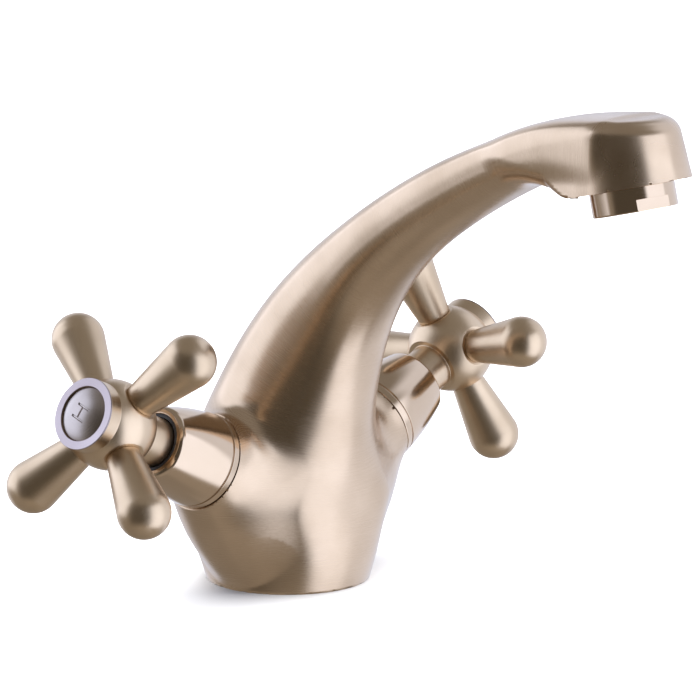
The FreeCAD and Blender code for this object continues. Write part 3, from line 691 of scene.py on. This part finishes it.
# ---- materials ----
class Paint:
    """Small builder for a node material that ends in a Principled shader."""

    def __init__(self, name, **sockets):
        self.material = bpy.data.materials.new(name)
        self.material.use_nodes = True
        self.tree = self.material.node_tree
        self.tree.nodes.clear()
        self.shader = self.add("ShaderNodeBsdfPrincipled", **sockets)
        output = self.add("ShaderNodeOutputMaterial")
        self.tree.links.new(self.shader.outputs[0], output.inputs[0])

    def add(self, kind, settings=(), **sockets):
        node = self.tree.nodes.new(kind)
        for key, value in dict(settings).items():
            setattr(node, key, value)
        for key, value in sockets.items():
            self.feed(node.inputs[int(key[1:]) if key[0] == "_" else key.replace("_", " ")], value)
        return node

    def feed(self, socket, value):
        if isinstance(value, bpy.types.Node):
            value = value.outputs[0]
        if isinstance(value, bpy.types.NodeSocket):
            self.tree.links.new(value, socket)
        else:
            socket.default_value = value

    def math(self, operation, *values):
        sockets = {"_%d" % i: value for i, value in enumerate(values)}
        return self.add("ShaderNodeMath", {"operation": operation}, **sockets)

    def vector(self, operation, *values):
        sockets = {"_%d" % i: value for i, value in enumerate(values)}
        return self.add("ShaderNodeVectorMath", {"operation": operation}, **sockets)

    def noise(self, place, scale, w=None, detail=2.0):
        settings = {"noise_dimensions": "3D" if w is None else "4D"}
        extra = {} if w is None else {"W": w}
        return self.add("ShaderNodeTexNoise", settings, Vector=place, Scale=scale,
                        Detail=detail, **extra)

    def span(self, value, low, high, source=(0.3, 0.7)):
        return self.add("ShaderNodeMapRange", _0=value, _1=source[0], _2=source[1],
                        _3=low, _4=high)

    def mix(self, share, first, second):
        node = self.add("ShaderNodeMix", {"data_type": "RGBA"}, _0=share)
        self.feed(node.inputs[6], first)
        self.feed(node.inputs[7], second)
        return node.outputs[2]


def brushed_metal(name, light, dark, roughness, grain=None, streak=0.0003, run=0.014,
                  depth=2e-6, spread=0.05):
    """Metal brushed in fine streaks, which change along the grain attribute where it is
    given, and along the piece's own axis and radius where it isn't."""
    paint = Paint(name, Metallic=1.0, Anisotropic=0.4)
    place = paint.add("ShaderNodeTexCoord").outputs["Object"]
    if grain:
        along = paint.add("ShaderNodeAttribute", {"attribute_name": grain}).outputs["Fac"]
    else:
        flat = paint.vector("MULTIPLY", place, (1, 1, 0))
        radius = paint.vector("LENGTH", flat).outputs["Value"]
        height = paint.add("ShaderNodeSeparateXYZ", Vector=place).outputs["Z"]
        along = paint.math("MULTIPLY_ADD", radius, 0.8, height)
    steps = paint.math("DIVIDE", along, streak)
    lines = paint.noise(place, 1 / run, w=steps, detail=3.0)
    cloud = paint.noise(place, 55.0, detail=3.0)
    fine = paint.noise(place, 2600.0, detail=1.0)
    tone = paint.math("ADD", paint.span(lines, -0.18, 0.18), paint.span(cloud, 0.15, 0.85))
    paint.feed(paint.shader.inputs["Base Color"], paint.mix(tone, dark, light))
    rough = paint.math("ADD", paint.span(lines, -spread, spread),
                       paint.span(cloud, roughness + 0.03, roughness - 0.03))
    paint.feed(paint.shader.inputs["Roughness"], rough)
    relief = paint.math("MULTIPLY_ADD", fine, 0.35, lines)
    bump = paint.add("ShaderNodeBump", Strength=1.0, Distance=depth, Height=relief)
    paint.feed(paint.shader.inputs["Normal"], bump)
    return paint.material


def plain_matter(name, light, dark, roughness, scale, depth):
    """Rubber, plastic or ceramic with a fine mottle in tone, gloss and relief."""
    paint = Paint(name)
    place = paint.add("ShaderNodeTexCoord").outputs["Object"]
    cloud = paint.noise(place, scale, detail=4.0)
    paint.feed(paint.shader.inputs["Base Color"],
               paint.mix(paint.span(cloud, 0.0, 1.0), dark, light))
    paint.feed(paint.shader.inputs["Roughness"],
               paint.span(cloud, roughness - 0.06, roughness + 0.06))
    bump = paint.add("ShaderNodeBump", Strength=1.0, Distance=depth, Height=cloud)
    paint.feed(paint.shader.inputs["Normal"], bump)
    return paint.material


BODY_BRONZE = brushed_metal("brushed_bronze_body", (0.67, 0.50, 0.345, 1),
                            (0.54, 0.39, 0.255, 1), 0.27, grain="grain", streak=0.0006,
                            run=0.02, depth=5e-6, spread=0.08)
HANDLE_BRONZE = brushed_metal("brushed_bronze_handle", (0.72, 0.545, 0.37, 1),
                              (0.59, 0.435, 0.28, 1), 0.35, streak=0.0004, run=0.012,
                              depth=3e-6, spread=0.08)
BONNET_BRONZE = brushed_metal("bright_bronze_bonnet", (0.64, 0.48, 0.34, 1),
                              (0.59, 0.44, 0.30, 1), 0.15, depth=6e-7, spread=0.03)
BUTTON_METAL = brushed_metal("dark_button_metal", (0.50, 0.43, 0.39, 1),
                             (0.42, 0.35, 0.31, 1), 0.30, depth=1e-6)
FACE_SILVER = brushed_metal("satin_face_silver", (0.50, 0.42, 0.41, 1),
                            (0.44, 0.36, 0.35, 1), 0.30, streak=0.00015, depth=1e-6)
STEEL = brushed_metal("turned_steel", (0.62, 0.60, 0.58, 1), (0.50, 0.48, 0.47, 1), 0.28)
RAW_BRASS = brushed_metal("turned_brass", (0.82, 0.64, 0.33, 1), (0.72, 0.54, 0.26, 1), 0.25)
RUBBER = plain_matter("black_rubber", (0.028, 0.027, 0.026, 1), (0.014, 0.013, 0.013, 1),
                      0.45, 900.0, 4e-6)
CERAMIC = plain_matter("lapped_ceramic", (0.88, 0.87, 0.84, 1), (0.80, 0.79, 0.75, 1),
                       0.2, 400.0, 1e-6)
PLASTIC = plain_matter("moulded_grey_plastic", (0.70, 0.70, 0.68, 1), (0.62, 0.62, 0.60, 1),
                       0.4, 500.0, 2e-6)
SLOT_MATERIALS = {"bronze_plate": HANDLE_BRONZE, "machined_steel": STEEL, "raw_brass": RAW_BRASS,
                  "white_ceramic": CERAMIC, "black_rubber": RUBBER, "grey_plastic": PLASTIC}


# ---- the tap ----
def dress_cad_nodes():
    """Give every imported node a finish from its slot; the visible ones are replaced below."""
    for part in frame["record"]["subparts"]:
        node = frame["nodes"][part["node"]]
        material = SLOT_MATERIALS[part["material_slot"]]
        node.data.materials.clear()
        node.data.materials.append(material)


def finish_piece(piece, body, material, slot, *nodes):
    piece.data.materials.append(material)
    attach(piece, body)
    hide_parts(*nodes)


def build_tap():
    finish_piece(body_mesh(), "root", BODY_BRONZE, "bronze_plate", "body_casting")
    finish_piece(aerator_collar(), "root", BONNET_BRONZE, "bronze_plate", "aerator_housing")
    for name, side in (("hot", -1), ("cold", 1)):
        handle = name + "_handle"
        laid = valve_matrix(side)
        turned_matrix = valve_matrix(side, HANDLE_TURN[name])
        finish_piece(bonnet(name + "_bonnet_shell", laid), "root", BONNET_BRONZE,
                     "bronze_plate", name + "_bonnet")
        finish_piece(hub_mesh(name + "_hub", turned_matrix), handle, HANDLE_BRONZE,
                     "bronze_plate", name + "_handle_hub")
        finish_piece(index_ring(name + "_face_ring", turned_matrix), handle, FACE_SILVER,
                     "machined_steel", name + "_index_ring")
        finish_piece(index_button(name + "_button", name == "hot", turned_matrix), handle,
                     BUTTON_METAL, "bronze_plate", name + "_index_button")
        for i in range(4):
            piece = arm_mesh("%s_spoke_%d" % (name, i + 1), turned_matrix @ arm_matrix(i))
            finish_piece(piece, handle, HANDLE_BRONZE, "bronze_plate",
                         "%s_arm_%d" % (name, i + 1))


# ---- studio ----
# soft panels of light round the tap: azimuth from -Y towards +X, elevation, half width,
# half height and edge softness in degrees, then the light's strength and colour
COOL, WARM = (0.66, 0.78, 1.05), (1.0, 0.92, 0.84)
PANELS = (
    (13, -8, 29, 42, 9, 1.9, COOL),         # large box to the camera's right
    (74, 8, 32, 48, 16, 1.05, COOL),        # its spill on the right-hand wall
    (-153, 17, 29, 27, 8, 1.75, COOL),      # box at the back left
    (146, 0, 40, 34, 10, 0.9, COOL),        # bright backdrop behind the tap
    (10, -62, 110, 14, 14, 0.08, WARM),     # light bounced off the table
)
DARK_PANEL = (-62, 2, 46, 40, 16)           # unlit side of the room, round the camera
DARK_COLOUR = (0.10, 0.092, 0.08, 1)
ROOM_LOW, ROOM_HIGH = (0.34, 0.32, 0.30, 1), (0.30, 0.29, 0.28, 1)
WALL_SEEN = (0.93, 0.93, 0.93, 1)


def panel_share(paint, direction, azimuth, elevation, half_width, half_height, soft):
    """1 inside a rectangle of directions, falling to 0 over its soft edge."""
    turn, lift = radians(azimuth), radians(elevation)
    ahead = (sin(turn), -cos(turn), 0)
    right = (cos(turn), sin(turn), 0)
    forward = paint.vector("DOT_PRODUCT", direction, ahead).outputs["Value"]
    sideways = paint.vector("DOT_PRODUCT", direction, right).outputs["Value"]
    height = paint.add("ShaderNodeSeparateXYZ", Vector=direction).outputs["Z"]
    around = paint.math("ABSOLUTE", paint.math("ARCTAN2", sideways, forward))
    above = paint.math("ABSOLUTE", paint.math("SUBTRACT", paint.math("ARCSINE", height), lift))
    edge = radians(soft) / 2
    shares = []
    for gap, half in ((around, radians(half_width)), (above, radians(half_height))):
        shares.append(paint.add("ShaderNodeMapRange", {"interpolation_type": "SMOOTHSTEP"},
                                _0=gap, _1=half - edge, _2=half + edge, _3=1.0, _4=0.0))
    return paint.math("MULTIPLY", *shares)


class WorldPaint(Paint):
    def __init__(self, world):
        world.use_nodes = True
        self.tree = world.node_tree
        self.tree.nodes.clear()
        self.shader = self.add("ShaderNodeBackground")
        output = self.add("ShaderNodeOutputWorld")
        self.tree.links.new(self.shader.outputs[0], output.inputs[0])


def build_world():
    """Plain room with soft panels of light; the camera itself sees a plain pale wall."""
    world = bpy.data.worlds.new("studio")
    paint = WorldPaint(world)
    direction = paint.add("ShaderNodeTexCoord").outputs["Generated"]
    height = paint.add("ShaderNodeSeparateXYZ", Vector=direction).outputs["Z"]
    room = paint.mix(paint.span(height, 0.0, 1.0, source=(-0.4, 0.7)), ROOM_LOW, ROOM_HIGH)
    total = paint.mix(panel_share(paint, direction, *DARK_PANEL), room, DARK_COLOUR)
    for azimuth, elevation, half_width, half_height, soft, power, colour in PANELS:
        share = panel_share(paint, direction, azimuth, elevation, half_width, half_height, soft)
        lit = paint.vector("SCALE", tuple(power * c for c in colour))
        paint.feed(lit.inputs["Scale"], share)
        total = paint.vector("ADD", total, lit)
    seen = paint.add("ShaderNodeLightPath").outputs["Is Camera Ray"]
    paint.feed(paint.shader.inputs["Color"], paint.mix(seen, total, WALL_SEEN))
    bpy.context.scene.world = world


def build_studio():
    bpy.context.scene.view_settings.view_transform = "Standard"
    build_world()
    corners = [(x * FLOOR_HALF, y * FLOOR_HALF, 0) for x, y in ((-1, -1), (1, -1), (1, 1), (-1, 1))]
    floor = make_object("floor", corners, [[0, 1, 2, 3]])
    floor.data.materials.append(plain_matter("pale_floor", (0.88, 0.87, 0.86, 1),
                                             (0.87, 0.86, 0.85, 1), 0.6, 3.0, 1e-6))
    floor.visible_glossy = False
    light = bpy.data.lights.new("overhead", "AREA")
    light.shape, light.size, light.energy = "DISK", LAMP_SIZE, LAMP_POWER
    lamp = bpy.data.objects.new("overhead", light)
    lamp.location = LAMP_PLACE
    lamp.visible_glossy = False
    bpy.context.scene.collection.objects.link(lamp)


def build_camera():
    """Camera at the photographer's place, turned by its azimuth and raised by its elevation."""
    right = Vector((cos(CAMERA_AZIMUTH), sin(CAMERA_AZIMUTH), 0))
    back = Vector((sin(CAMERA_AZIMUTH) * cos(CAMERA_ELEVATION),
                   -cos(CAMERA_AZIMUTH) * cos(CAMERA_ELEVATION), sin(CAMERA_ELEVATION)))
    data = bpy.data.cameras.new("camera")
    data.sensor_width, data.lens = CAMERA_SENSOR, CAMERA_LENS
    data.clip_end = CAMERA_REACH
    camera = bpy.data.objects.new("camera", data)
    bpy.context.scene.collection.objects.link(camera)
    matrix = Matrix((right, back.cross(right), back)).transposed().to_4x4()
    matrix.translation = Vector(CAMERA_PLACE)
    camera.matrix_world = matrix
    bpy.context.scene.camera = camera


build_camera()
dress_cad_nodes()
build_tap()
build_studio()
bpy.context.view_layer.update()
